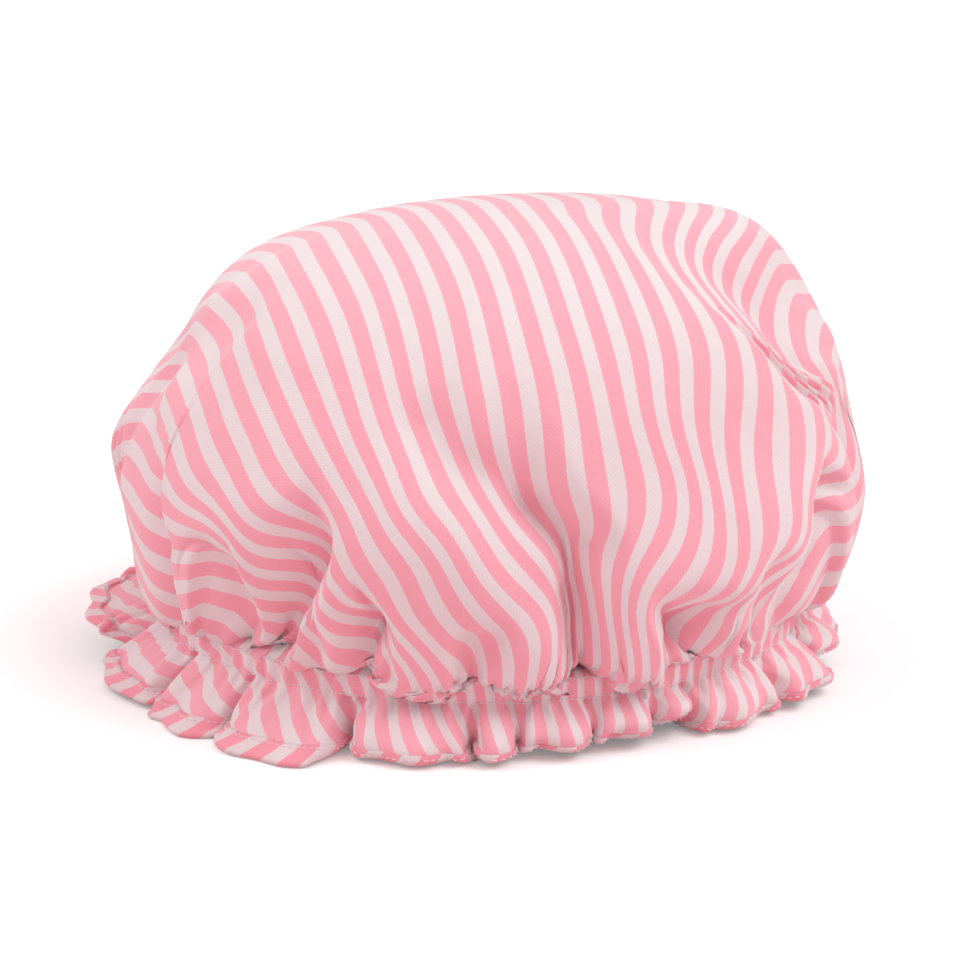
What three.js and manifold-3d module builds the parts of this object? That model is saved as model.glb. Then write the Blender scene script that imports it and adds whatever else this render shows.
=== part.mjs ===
// A gathered double-layer shower cap, puffed out and standing on its frilled edge.
// Millimetres, +Z up, the front towards -Y. One cut circle of striped cloth is both the crown and the frill.
// A second circle of waterproof film lines it, a flat elastic runs in a stitched channel between the two,
// and a folded bias strip binds their common edge.
import * as THREE from 'three';
import { mergeVertices } from 'three/addons/utils/BufferGeometryUtils.js';
import Module from 'manifold-3d';

const wasm = await Module();
wasm.setup();

// Driving dimensions of the puffed crown, and how far the elastic draws its mouth in all round
const crownHalfWidth = 141;
const crownHalfDepth = 134;
const crownRise = 140;
const mouthDrawIn = 20;
const mouthHalfWidth = crownHalfWidth - mouthDrawIn;
const mouthHalfDepth = crownHalfDepth - mouthDrawIn;

// Driving dimensions of the elastic, its channel, the frill and the binding
const elasticWidth = 6;
const elasticThickness = 1;
const elasticLap = 22;
const channelWidth = 7.2;
const frillDrop = 18;
const frillLobeReach = 23;
const frillTuckReach = 7;
const frillEdgeLift = 3;
const bindingWidth = 7;

// Cloth thicknesses, the gap between pieces that touch, and the depth of the flat under the frill
const clothThickness = 0.5;
const liningThickness = 0.4;
const bindingThickness = 0.5;
const clearance = 0.3;
const footDepth = 0.5;

// Depth of the deepest crown fold, and how far the cloth puffs out between two folds
const foldDepth = 15;
const puffHeight = 5;

// The crown's outline from its top to the elastic, on the left and on the right side:
// distance out as a share of the crown's half width or depth, height as a share of its rise
const leftOutlineShares = [
  [0, 1], [0.22, 0.99], [0.45, 0.94], [0.64, 0.86], [0.78, 0.69], [0.9, 0.53],
  [0.965, 0.38], [0.935, 0.18], [0.9, 0.06], [0.86, 0],
];
const rightOutlineShares = [
  [0, 1], [0.22, 1.02], [0.48, 1.03], [0.71, 0.99], [0.83, 0.84], [0.91, 0.69],
  [0.96, 0.5], [1.02, 0.28], [1, 0.1], [0.86, 0],
];

// The folds that gather the crown into the elastic: degrees round from the front towards +X,
// depth as a share of the deepest, and how far down the crown each starts as a share of its outline
const foldAngles = [-82, -66, -54, -42, -30, -17, -2, 16, 36, 57, 76, 101, 126, 152, 177, 202, 227, 253];
const foldDepthShares = [
  0.45, 0.6, 0.35, 0.55, 0.85, 0.6, 0.55, 1, 0.8, 0.7, 0.5, 0.6, 0.5, 0.7, 0.55, 0.65, 0.5, 0.6,
];
const foldStartShares = [
  0.6, 0.45, 0.72, 0.6, 0.48, 0.66, 0.75, 0.36, 0.62, 0.46, 0.6, 0.5, 0.6, 0.45, 0.6, 0.5, 0.62, 0.55,
];

// How far out each frill lobe reaches, as a share of the largest, and how far it is lifted off
// the ground, as a share of the frill's drop, from the lobe after the first fold
const lobeReachShares = [
  0.9, 0.85, 0.8, 0.9, 0.8, 1, 0.75, 0.9, 0.85, 0.85, 0.5, 0.85, 1, 0.8, 0.95, 0.85, 0.95, 1,
];
const lobeLiftShares = [0.3, 0, 0, 0, 0, 0, 0, 0, 0, 0, 0.1, 0, 0, 0, 0, 0, 0, 0.6];

// Rows of points from the crown's top to the frill's edge, and the points round each
const crownRowShares = [0, 0.2, 0.42, 0.61, 0.78, 0.91];
const columnsPerFold = 4;
const columns = foldAngles.length * columnsPerFold;
const crownRowColumns = [1, columns / 6, columns / 2, columns, columns, columns];
const channelTopRow = crownRowShares.length;
const channelBottomRow = channelTopRow + 1;
const frillMiddleShare = 0.4;

// Shape of one puff or lobe across its four columns, from the fold at 0 to the crest at 1
const roundedShares = [0, 0.72, 1, 0.72];

const frillLength = Math.hypot(frillDrop, frillLobeReach);
const bindingTopShare = 1 - bindingWidth / frillLength;
const frillRowShares = [frillMiddleShare, bindingTopShare, 1];
const bindingTopRow = channelBottomRow + 2;
const edgeRow = channelBottomRow + 3;

const smooth = THREE.MathUtils.smoothstep;
const mix = THREE.MathUtils.lerp;

function outlineCurve(shares) {
  return new THREE.SplineCurve(shares.map(([out, up]) => new THREE.Vector2(out, up)));
}

const leftOutline = outlineCurve(leftOutlineShares);
const rightOutline = outlineCurve(rightOutlineShares);

// A column's fold on either side of it, how far it is between the two, and its angle
function columnPlace(column) {
  const fold = Math.floor(column / columnsPerFold) % foldAngles.length;
  const next = (fold + 1) % foldAngles.length;
  const step = column % columnsPerFold;
  const between = step / columnsPerFold;
  const turn = next === 0 ? 360 : 0;
  const degrees = mix(foldAngles[fold], foldAngles[next] + turn, between);
  return { fold, next, between, angle: THREE.MathUtils.degToRad(degrees), round: roundedShares[step] };
}

function ellipsePoint(angle, halfWidth, halfDepth, height) {
  return new THREE.Vector3(Math.sin(angle) * halfWidth, -Math.cos(angle) * halfDepth, height);
}

function ellipseNormal(angle) {
  return ellipsePoint(angle, mouthHalfDepth, mouthHalfWidth, 0).normalize();
}

// How deep a fold has grown at a share of the outline below the crown's top
function foldGrowth(fold, share) {
  const fullShare = crownRowShares.at(-1);
  return foldDepthShares[fold] * smooth(share, foldStartShares[fold], fullShare);
}

function crownPoint(share, place) {
  const toRight = (1 + Math.sin(place.angle)) / 2;
  const outline = leftOutline.getPointAt(share).lerp(rightOutline.getPointAt(share), toRight);
  const height = channelWidth + frillDrop + outline.y * crownRise;
  const point = ellipsePoint(place.angle, outline.x * crownHalfWidth, outline.x * crownHalfDepth, height);
  const depth = mix(foldGrowth(place.fold, share), foldGrowth(place.next, share), place.between);
  const inward = foldDepth * depth * (1 - place.round) - puffHeight * depth * place.round;
  return point.addScaledVector(ellipseNormal(place.angle), -inward);
}

function frillPoint(share, place) {
  const reach = frillLobeReach * lobeReachShares[place.fold];
  const out = mix(frillTuckReach, reach, place.round) * share;
  const lift = mix(frillEdgeLift, frillDrop * lobeLiftShares[place.fold], place.round);
  const drop = (frillDrop - lift) * share;
  const point = ellipsePoint(place.angle, mouthHalfWidth, mouthHalfDepth, frillDrop - drop);
  return point.addScaledVector(ellipseNormal(place.angle), out);
}

// The inner face of the striped cloth, row by row: every layer is set off from this face
function clothRows() {
  const rows = crownRowShares.map((share, row) => {
    const count = crownRowColumns[row];
    return Array.from({ length: count }, (_, i) => crownPoint(share, columnPlace((i * columns) / count)));
  });
  const places = Array.from({ length: columns }, (_, i) => columnPlace(i));
  for (const height of [frillDrop + channelWidth, frillDrop]) {
    rows.push(places.map(({ angle }) => ellipsePoint(angle, mouthHalfWidth, mouthHalfDepth, height)));
  }
  for (const share of frillRowShares) rows.push(places.map((place) => frillPoint(share, place)));
  return rows;
}

const rows = clothRows();
const rowStarts = rows.map((_, row) => rows.slice(0, row).reduce((sum, above) => sum + above.length, 0));
const pointCount = rowStarts.at(-1) + columns;

// Triangles between two rows, where the lower has a whole number of times the upper's points
function bandTriangles(row) {
  const [few, many] = [rows[row].length, rows[row + 1].length];
  const times = many / few;
  const half = Math.ceil(times / 2);
  const upper = (i) => rowStarts[row] + (i % few);
  const lower = (i) => rowStarts[row + 1] + (i % many);
  const triangles = [];
  for (let i = 0; i < few; i += 1) {
    for (let j = 0; j < times; j += 1) {
      const apex = j < half ? i : i + 1;
      triangles.push([upper(apex), lower(i * times + j), lower(i * times + j + 1)]);
    }
    if (few > 1) triangles.push([upper(i), lower(i * times + half), upper(i + 1)]);
  }
  return triangles;
}

const faceTriangles = rows.slice(0, -1).flatMap((_, row) => bandTriangles(row));

function geometryOf(points, triangles) {
  const geometry = new THREE.BufferGeometry();
  const positions = points.flatMap((point) => point.toArray());
  geometry.setAttribute('position', new THREE.Float32BufferAttribute(positions, 3));
  geometry.setIndex(triangles.flat());
  geometry.computeVertexNormals();
  return geometry;
}

// Directions out of the cloth, longer where it folds, so that layers set off along them keep their gap.
// Round the channel they are level, so that the elastic lies flat in it.
function clothNormals() {
  const points = rows.flat();
  const sums = points.map(() => new THREE.Vector3());
  const areas = points.map(() => 0);
  for (const corners of faceTriangles) {
    const triangle = new THREE.Triangle(...corners.map((corner) => points[corner]));
    const normal = triangle.getNormal(new THREE.Vector3());
    for (const corner of corners) {
      sums[corner].addScaledVector(normal, triangle.getArea());
      areas[corner] += triangle.getArea();
    }
  }
  return rows.map((row, index) => row.map((_, i) => {
    const inChannel = index === channelTopRow || index === channelBottomRow;
    if (inChannel) return ellipseNormal(columnPlace(i).angle);
    const corner = rowStarts[index] + i;
    return sums[corner].multiplyScalar(areas[corner] / sums[corner].lengthSq());
  }));
}

const normals = clothNormals();

function offsetPoint(row, column, distance) {
  const i = column % rows[row].length;
  return rows[row][i].clone().addScaledVector(normals[row][i], distance);
}

// A closed skin between two distances from the cloth's inner face, joined round the frill's edge
function skinGeometry(outerDistance, innerDistance) {
  const face = (distance) => rows.flatMap((points, row) => (
    points.map((_, i) => offsetPoint(row, i, distance(row, i)))
  ));
  const triangles = [...faceTriangles];
  faceTriangles.forEach(([a, b, c]) => triangles.push([a + pointCount, c + pointCount, b + pointCount]));
  const edgeStart = rowStarts[edgeRow];
  for (let i = 0; i < columns; i += 1) {
    const [here, next] = [edgeStart + i, edgeStart + ((i + 1) % columns)];
    triangles.push([next, here, here + pointCount], [next, here + pointCount, next + pointCount]);
  }
  return geometryOf([...face(outerDistance), ...face(innerDistance)], triangles);
}

// A solid swept through sections of as many points each, as a ring or with two flat ends.
// The faces listed, by their place in the section, are split along their other diagonal.
function sweptGeometry(sections, isRing, otherFaces = []) {
  const size = sections[0].length;
  const triangles = [];
  const spans = isRing ? sections.length : sections.length - 1;
  for (let i = 0; i < spans; i += 1) {
    const [from, to] = [i * size, ((i + 1) % sections.length) * size];
    for (let j = 0; j < size; j += 1) {
      const k = (j + 1) % size;
      if (otherFaces.includes(j)) {
        triangles.push([from + j, to + j, from + k], [to + j, to + k, from + k]);
      } else {
        triangles.push([from + j, to + j, to + k], [from + j, to + k, from + k]);
      }
    }
  }
  if (!isRing) {
    const last = (sections.length - 1) * size;
    for (let j = 1; j < size - 1; j += 1) {
      triangles.push([0, j, j + 1], [last, last + j + 1, last + j]);
    }
  }
  return geometryOf(sections.flat(), triangles);
}

// The elastic laps over its own end at the back, so there the inner end lies one thickness further in
const mouthLength = Math.PI * (mouthHalfWidth + mouthHalfDepth);
const lapColumns = Math.max(1, Math.round((elasticLap / mouthLength) * columns));
const rampColumns = 3;
const lapStartColumn = foldAngles.indexOf(177) * columnsPerFold;
const lapInset = elasticThickness + clearance;

function elasticInset(step) {
  const ramp = (step - (columns - rampColumns)) / rampColumns;
  return lapInset * THREE.MathUtils.clamp(ramp, 0, 1);
}

// How much further in the lining has to lie at a column to clear the lapped ends
function lapDepth(column) {
  const step = (column - lapStartColumn + columns) % columns;
  return Math.max(elasticInset(step), step <= lapColumns + 1 ? lapInset : 0);
}

function elasticGeometry() {
  const slack = (channelWidth - elasticWidth) / 2;
  const low = frillDrop + slack;
  const high = frillDrop + channelWidth - slack;
  const sections = [];
  for (let step = 0; step <= columns + lapColumns; step += 1) {
    const { angle } = columnPlace((lapStartColumn + step) % columns);
    const normal = ellipseNormal(angle);
    const outer = clearance + elasticInset(step);
    const corner = (distance, height) => (
      ellipsePoint(angle, mouthHalfWidth, mouthHalfDepth, height).addScaledVector(normal, -distance)
    );
    sections.push([
      corner(outer, low), corner(outer, high),
      corner(outer + elasticThickness, high), corner(outer + elasticThickness, low),
    ]);
  }
  return sweptGeometry(sections, false);
}

// Distances of the lining's two faces: close under the cloth, and behind the elastic in the channel
function liningDistance(row, column) {
  const inChannel = row === channelTopRow || row === channelBottomRow;
  return inChannel ? -(clearance + elasticThickness + lapDepth(column) + clearance) : -clearance;
}

// The binding is a strip folded round the edges of both layers
function bindingGeometry() {
  const outerNear = clothThickness + clearance;
  const outerFar = outerNear + bindingThickness;
  const innerNear = -(clearance + liningThickness + clearance);
  const innerFar = innerNear - bindingThickness;
  const sections = [];
  for (let i = 0; i < columns; i += 1) {
    const away = rows[edgeRow][i].clone().sub(rows[bindingTopRow][i]).normalize();
    const atTop = (distance) => offsetPoint(bindingTopRow, i, distance);
    const pastEdge = (distance, past) => offsetPoint(edgeRow, i, distance).addScaledVector(away, past);
    const foldFar = clearance + bindingThickness;
    sections.push([
      atTop(outerNear), pastEdge(outerNear, 0), pastEdge(outerNear, clearance),
      pastEdge(innerNear, clearance), pastEdge(innerNear, 0), atTop(innerNear),
      atTop(innerFar), pastEdge(innerFar, foldFar), pastEdge(outerFar, foldFar), atTop(outerFar),
    ]);
  }
  const acrossEdge = 2;
  const innerFacesRising = [3, 4];
  const outerFaceRising = 8;
  return sweptGeometry(sections, true, [acrossEdge, ...innerFacesRising, outerFaceRising]);
}

function solidOf(geometry) {
  const bare = geometry.clone();
  bare.deleteAttribute('normal');
  bare.deleteAttribute('uv');
  const merged = mergeVertices(bare);
  return new wasm.Manifold(new wasm.Mesh({
    numProp: 3,
    vertProperties: new Float32Array(merged.getAttribute('position').array),
    triVerts: new Uint32Array(merged.getIndex().array),
  }));
}

// The lobes are pressed flat where they stand, so the lowest part of the binding is cut away level
function standFlat(geometry) {
  geometry.computeBoundingBox();
  const { min, max } = geometry.boundingBox;
  const size = max.clone().sub(min);
  const cutter = new THREE.BoxGeometry(2 * size.x, 2 * size.y, 2 * footDepth);
  cutter.translate(0, 0, min.z);
  const mesh = solidOf(geometry).subtract(solidOf(cutter)).getMesh();
  const flat = new THREE.BufferGeometry();
  flat.setAttribute('position', new THREE.BufferAttribute(mesh.vertProperties, 3));
  flat.setIndex(new THREE.BufferAttribute(mesh.triVerts, 1));
  flat.computeVertexNormals();
  return flat;
}

function stripedCloth(colour) {
  return new THREE.MeshStandardMaterial({ color: colour, roughness: 0.85, metalness: 0 });
}

function liningFilm() {
  return new THREE.MeshStandardMaterial({ color: 0xf1ebec, roughness: 0.45, metalness: 0 });
}

function wovenElastic() {
  return new THREE.MeshStandardMaterial({ color: 0xf6f3f0, roughness: 0.8, metalness: 0 });
}

function named(name, geometry, material) {
  const mesh = new THREE.Mesh(geometry, material);
  mesh.name = name;
  return mesh;
}

function outerCloth() {
  const geometry = skinGeometry(() => clothThickness, () => 0);
  return named('outer_cloth', geometry, stripedCloth(0xf7a9b8));
}

function waterproofLining() {
  const geometry = skinGeometry(
    liningDistance,
    (row, column) => liningDistance(row, column) - liningThickness,
  );
  return named('waterproof_lining', geometry, liningFilm());
}

function elasticBand() {
  return named('elastic_band', elasticGeometry(), wovenElastic());
}

function edgeBinding() {
  return named('edge_binding', standFlat(bindingGeometry()), stripedCloth(0xf39aab));
}

// The origin is the middle of the part's box, on the surface that it stands on
function showerCap() {
  const cap = new THREE.Group();
  cap.add(outerCloth(), waterproofLining(), elasticBand(), edgeBinding());
  const box = new THREE.Box3().setFromObject(cap, true);
  const middle = box.getCenter(new THREE.Vector3());
  cap.position.set(-middle.x, -middle.y, -box.min.z);
  return cap;
}

export default showerCap();
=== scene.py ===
"""A gathered shower cap of striped cloth, puffed out on its frilled edge.

The cap is one cut circle of cloth over a circle of lining, gathered by a flat elastic in a sewn
channel, with a bias binding round the frill. A small cloth solver gathers the flat circle onto the
elastic round a form, so the folds and the stripes follow from the cut.
Solver lengths are millimetres; everything given to Blender is metres.
"""

import math

import bpy
import numpy as np
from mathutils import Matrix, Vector


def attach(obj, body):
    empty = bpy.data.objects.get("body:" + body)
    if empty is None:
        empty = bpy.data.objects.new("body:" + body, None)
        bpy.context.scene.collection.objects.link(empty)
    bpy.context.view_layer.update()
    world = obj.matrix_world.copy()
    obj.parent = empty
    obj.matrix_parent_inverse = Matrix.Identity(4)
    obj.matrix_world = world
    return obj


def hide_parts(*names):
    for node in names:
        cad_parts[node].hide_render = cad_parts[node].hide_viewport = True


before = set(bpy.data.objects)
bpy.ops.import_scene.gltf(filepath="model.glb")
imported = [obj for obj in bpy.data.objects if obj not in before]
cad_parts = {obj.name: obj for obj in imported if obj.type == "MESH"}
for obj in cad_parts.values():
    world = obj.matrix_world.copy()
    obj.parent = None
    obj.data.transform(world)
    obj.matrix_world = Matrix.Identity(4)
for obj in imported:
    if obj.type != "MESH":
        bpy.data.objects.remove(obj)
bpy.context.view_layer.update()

TURN = 2 * math.pi
MM = 0.001

# The form that the crown is puffed to
CROWN_HALF_WIDTH = 141.0
CROWN_HALF_DEPTH = 134.0
CROWN_RISE = 140.0
MOUTH_DRAW_IN = 20.0
MOUTH_HALF_WIDTH = CROWN_HALF_WIDTH - MOUTH_DRAW_IN
MOUTH_HALF_DEPTH = CROWN_HALF_DEPTH - MOUTH_DRAW_IN
FORM_CENTRE_Z = 62.0
FORM_UNIT = 130.0
FLOOR = 1.7

# The cut circle, from its middle to its edge
LOWER_STITCH_Z = 19.2
CHANNEL_WIDTH = 7.2
UPPER_STITCH_Z = LOWER_STITCH_Z + CHANNEL_WIDTH
FRILL_LENGTH = 29.0
BINDING_WIDTH = 7.0
UPPER_STITCH_RADIUS = 246.0
LOWER_STITCH_RADIUS = UPPER_STITCH_RADIUS + CHANNEL_WIDTH
EDGE_RADIUS = LOWER_STITCH_RADIUS + FRILL_LENGTH
BINDING_TOP_RADIUS = EDGE_RADIUS - BINDING_WIDTH
HUB_RADIUS = 5.0

# Outlines of the crown at its left and right, as shares out and up
LEFT_OUTLINE = [
    [0, 1], [0.22, 0.99], [0.45, 0.94], [0.64, 0.86], [0.78, 0.69],
    [0.9, 0.53], [0.965, 0.38], [0.94, 0.18], [0.91, 0.03], [0.885, -0.02], [0.86, 0],
]
RIGHT_OUTLINE = [
    [0, 1], [0.22, 1.02], [0.48, 1.03], [0.71, 0.99], [0.83, 0.84],
    [0.91, 0.69], [0.96, 0.5], [1.01, 0.28], [0.97, 0.08], [0.91, -0.02], [0.86, 0],
]

# Which side of a fold slopes gently: the puff on its other side laps over it
LEFT, BOTH, RIGHT = -1, 0, 1
# Folds of the crown: depth, half width, gentle side, and a line of (degrees round, share down)
FOLDS = [
    (15, 12, LEFT, [(-61, 0.69), (-55.5, 0.75), (-54, 0.81), (-54.5, 0.85), (-54, 0.92), (-56, 1)]),
    (12, 9, LEFT, [(-38.5, 0.75), (-38, 0.83), (-39, 0.88), (-42.5, 0.95), (-45, 1)]),
    (20, 15, LEFT, [(-22.5, 0.69), (-22, 0.75), (-24, 0.79), (-27.5, 0.86), (-30, 0.91), (-35, 1)]),
    (7, 5, BOTH, [(-24, 0.85), (-26.5, 0.95), (-27, 1)]),
    (16, 10, LEFT, [(-14, 0.83), (-15, 0.88), (-18, 1)]),
    (7, 12, BOTH, [(-15.5, 0.46), (-10.5, 0.55), (-7, 0.6), (-2.5, 0.64), (4, 0.72), (11.5, 0.82)]),
    (19, 7, BOTH, [(-3, 0.6), (5, 0.66), (9, 0.7), (15, 0.76), (14.5, 0.82), (15, 0.89), (17, 1)]),
    (10, 5, BOTH, [(-0.5, 0.84), (-1.5, 0.92), (-1.5, 1)]),
    (6, 4, BOTH, [(2.5, 0.84), (2, 0.9), (2.5, 1)]),
    (14, 10, RIGHT, [(27, 0.83), (29, 0.88), (37, 1)]),
    (9, 5, BOTH, [(38.5, 0.85), (34, 0.87), (31, 0.91), (31, 1)]),
    (7, 5, BOTH, [(45.5, 0.85), (37, 0.88), (32, 0.93), (31.5, 1)]),
    (6, 5, BOTH, [(49.5, 0.8), (45.5, 0.83), (45, 0.88), (46, 1)]),
    (15, 12, RIGHT, [(63.5, 0.69), (59, 0.73), (55.5, 0.78), (54, 0.84), (51, 0.9), (54, 1)]),
    (5, 8, BOTH, [(48, 0.31), (46, 0.36), (54, 0.42), (62, 0.48), (64, 0.57), (71, 0.66)]),
    (9, 7, BOTH, [(-80, 0.6), (-81, 0.8), (-82, 1)]),
    (9, 7, BOTH, [(76, 0.6), (76, 0.8), (76, 1)]),
    (11, 7, BOTH, [(99, 0.5), (101, 0.75), (101, 1)]),
    (9, 7, BOTH, [(128, 0.6), (126, 0.8), (126, 1)]),
    (13, 7, BOTH, [(150, 0.45), (153, 0.7), (152, 1)]),
    (10, 7, BOTH, [(179, 0.6), (177, 0.8), (177, 1)]),
    (12, 7, BOTH, [(200, 0.5), (202, 0.75), (202, 1)]),
    (9, 7, BOTH, [(229, 0.62), (227, 0.8), (227, 1)]),
    (11, 7, BOTH, [(250, 0.55), (253, 0.77), (253, 1)]),
]
STEEP_WIDTH = 1.8
# Puffs that stand out of the form: height, half width, (degrees round, share down)
PUFFS = [
    (6, 22, (80, 0.36)), (-4, 16, (68, 0.49)), (5, 16, (84, 0.58)), (-3, 30, (150, 0.12)),
    (5, 26, (-101, 0.39)), (-5, 24, (-88, 0.56)), (3, 18, (-79, 0.71)), (-3, 22, (-75, 0.8)),
]

# The frill's lobes: where each starts in degrees, how far out and how high its first tuck is, and
# how far out and how high the lobe is
LOBES = [
    (-106, (-10, 4), (25, 16)), (-77, (6, 6), (23, 2)), (-57, (-14, 0), (24, 0)),
    (-41, (-8, 0), (27, 0)), (-21, (-18, 0), (14, 0)), (-1, (-12, 0), (12, 1)),
    (6, (-8, 0), (7, 2)), (18, (-2, 1), (5, 3)), (28.5, (-10, 0), (3, 6)),
    (36, (-8, 0), (11, 0)), (54, (-2, 1), (18, 3)), (70, (-14, 0), (12, 7)),
    (84, (-18, 0), (14, 2)), (102, (-14, 0), (16, 0)), (116, (-6, 0), (19, 0)),
    (137, (-18, 0), (15, 0)), (150, (-16, 0), (20, 0)), (169, (-10, 0), (15, 1)),
    (182, (-18, 0), (18, 0)), (202, (-6, 0), (14, 0)), (217, (-18, 0), (19, 0)),
    (235, (-14, 0), (16, 2)),
]
# Smaller ruffles that run over the lobes: their height and how many go round
RUFFLE_HEIGHT = 2.6
RUFFLES = 58
FRILL_BOW = 0.8
# How far each side of a lobe spreads over its tuck, as a share of the lobe's width
LOBE_SPREAD = 0.13

# Stripes, as sewn to the cut circle
STRIPE_PITCH = 12.5
STRIPE_PINK_SHARE = 0.535
STRIPE_TURN = math.radians(20.5)
STRIPE_ORIGIN = 20.0
GUIDE_SMOOTHING = 1.0
GUIDE_GAINS = (0.03, 0.06, 0.1, 0.1)
# Where the middles of numbered pink stripes run over the front: (degrees round, share down)
STRIPE_GUIDES = {
    2: [(-43, 0.91), (-50, 0.94)],
    3: [(-41.5, 0.87), (-53, 0.9), (-47, 0.88)],
    4: [(-50.5, 0.84), (-45, 0.83), (-40.5, 0.83), (-38, 0.92), (-33, 0.92)],
    5: [(-49.5, 0.79), (-44.5, 0.79), (-40, 0.79), (-36.5, 0.88), (-32, 0.88), (-29, 0.88)],
    6: [
        (-49.5, 0.75), (-44.5, 0.75), (-40, 0.76), (-35.5, 0.83), (-31, 0.84), (-28, 0.84),
        (-27.5, 0.92),
    ],
    7: [
        (-77, 0.62), (-63, 0.64), (-52, 0.69), (-45, 0.73), (-40, 0.74), (-35, 0.79), (-31, 0.8), (-27, 0.8),
        (-26.5, 0.88), (-22.5, 0.92), (-18, 0.94),
    ],
    8: [
        (-74.5, 0.56), (-66.5, 0.58), (-48.5, 0.66), (-37, 0.73), (-35.5, 0.74), (-30.5, 0.76), (-25.5, 0.77),
        (-25.5, 0.83), (-21.5, 0.87), (-17, 0.89),
    ],
    9: [
        (-76, 0.52), (-85, 0.55), (-66, 0.52), (-47.5, 0.59), (-38.5, 0.66), (-31.5, 0.72), (-30.5, 0.72), (-26, 0.74),
        (-21, 0.82), (-17, 0.86),
    ],
    10: [(-74.5, 0.47), (-91, 0.51), (-64.5, 0.47), (-43.5, 0.56), (-33, 0.64), (-22, 0.72), (-21, 0.78), (-16.5, 0.82)],
    11: [(-76.5, 0.42), (-90.5, 0.45), (-58, 0.43), (-40, 0.52), (-30, 0.6), (-21.5, 0.69), (-17, 0.76), (-12, 0.85)],
    12: [(-88, 0.37), (-60, 0.38), (-37.5, 0.47), (-28, 0.55), (-20.5, 0.63), (-15, 0.7), (-9.5, 0.78), (-6, 0.86)],
    13: [(-86, 0.31), (-56.5, 0.34), (-32, 0.44), (-23, 0.53), (-18, 0.61), (-12.5, 0.69), (-6, 0.76), (-2, 0.84)],
    14: [(-85.5, 0.27), (-49, 0.3), (-24, 0.43), (-17.5, 0.52), (-13, 0.6), (-9, 0.69), (-3, 0.76), (3, 0.84)],
    15: [(-92, 0.22), (-43.5, 0.26), (-19, 0.41), (-14, 0.49), (-10.5, 0.57), (-6, 0.64), (-1.5, 0.71), (2.5, 0.78)],
    16: [
        (-100, 0.17), (-33, 0.23), (-11.5, 0.41), (-8, 0.49), (-5.5, 0.57), (-1.5, 0.65), (3, 0.72), (8, 0.79),
        (12, 0.87),
    ],
    17: [
        (-107.5, 0.12), (-22.5, 0.2), (-5, 0.39), (-2.5, 0.48), (-0.5, 0.55), (1, 0.63), (5, 0.7), (11, 0.77),
        (13.5, 0.84),
    ],
    18: [(-7.5, 0.19), (2, 0.4), (3.5, 0.49), (5, 0.57), (6.5, 0.65), (11.5, 0.73)],
    19: [(7.5, 0.2), (8.5, 0.4), (9.5, 0.48), (10.5, 0.55), (11, 0.62), (11.5, 0.69)],
    20: [(19.5, 0.22), (14.5, 0.41), (15.5, 0.5), (16, 0.59), (16.5, 0.67), (17, 0.75)],
    21: [(30, 0.23), (21, 0.41), (20.5, 0.49), (21, 0.57), (22, 0.65), (21.5, 0.72), (18.5, 0.79)],
    22: [
        (39, 0.24), (27, 0.41), (27, 0.49), (25.5, 0.56), (26.5, 0.64), (27, 0.71), (22.5, 0.78),
        (20.5, 0.85),
    ],
    23: [
        (47.5, 0.25), (33.5, 0.4), (32.5, 0.48), (30.5, 0.55), (29.5, 0.61), (31.5, 0.68), (30.5, 0.72),
        (29.5, 0.76),
    ],
    24: [
        (64, 0.27), (47.5, 0.31), (38.5, 0.44), (37.5, 0.52), (34.5, 0.59), (34, 0.66), (35, 0.73),
        (33, 0.8), (29, 0.87),
    ],
    25: [
        (62, 0.3), (47.5, 0.35), (44, 0.45), (44, 0.52), (40.5, 0.6), (38.5, 0.67), (38, 0.74),
        (38, 0.81), (33.5, 0.88),
    ],
    26: [(66.5, 0.32), (49, 0.37), (49, 0.45), (49.5, 0.54), (46.5, 0.62), (44, 0.7), (43, 0.78)],
    27: [(72, 0.35), (50.5, 0.4), (54.5, 0.55), (54, 0.63), (51, 0.71), (48.5, 0.79)],
    28: [(68.5, 0.39), (56, 0.42), (63, 0.65), (57.5, 0.72), (54, 0.8)],
    29: [(67.5, 0.43), (60, 0.45), (66.5, 0.7), (63, 0.7)],
    30: [(65.5, 0.47), (70, 0.74), (64.5, 0.73), (60, 0.74)],
    31: [(66, 0.51), (69.5, 0.78), (61, 0.77), (57, 0.77)],
    32: [(70.5, 0.54), (66.5, 0.82), (59.5, 0.82), (55.5, 0.81)],
    33: [(66.5, 0.87), (60, 0.87), (54, 0.86)],
    34: [(59.5, 0.94), (54, 0.92)],
}
# Behind the outline, the shares down and how much further out the cloth has slipped, by degrees
BEHIND_SHARES = (0.3, 0.5, 0.7, 0.9)
BEHIND = {
    95: (1.2, 1.2, 1.05, 1),
    115: (1.1, 1.1, 1, 1),
    140: (1, 1, 1, 1),
    165: (1, 1, 1, 1),
    195: (1, 1, 1, 1),
    220: (1, 1, 1, 1),
    240: (1.02, 1.02, 1, 1),
    258: (1.05, 1.05, 1.02, 1),
    273: (1.07, 1.07, 1.03, 1),
}
UV_SPAN = 0.6


def catmull(points, count=40):
    """Points of a smooth line through the given ones."""
    p = np.array(points, float)
    p = np.vstack([2 * p[0] - p[1], p, 2 * p[-1] - p[-2]])
    t = np.linspace(0, 1, count, endpoint=False)[:, None]
    found = []
    for i in range(1, len(p) - 2):
        a, b, c, d = p[i - 1 : i + 3]
        curve = 2 * b + (c - a) * t
        curve = curve + (2 * a - 5 * b + 4 * c - d) * t**2
        found.append(0.5 * (curve + (3 * b - a - 3 * c + d) * t**3))
    found.append(p[-2][None])
    return np.vstack(found)


def outline(points):
    """Shares along a line, and its points."""
    line = catmull(points)
    steps = np.linalg.norm(np.diff(line, axis=0), axis=1)
    along = np.concatenate([[0], np.cumsum(steps)])
    return along / along[-1], line


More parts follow.
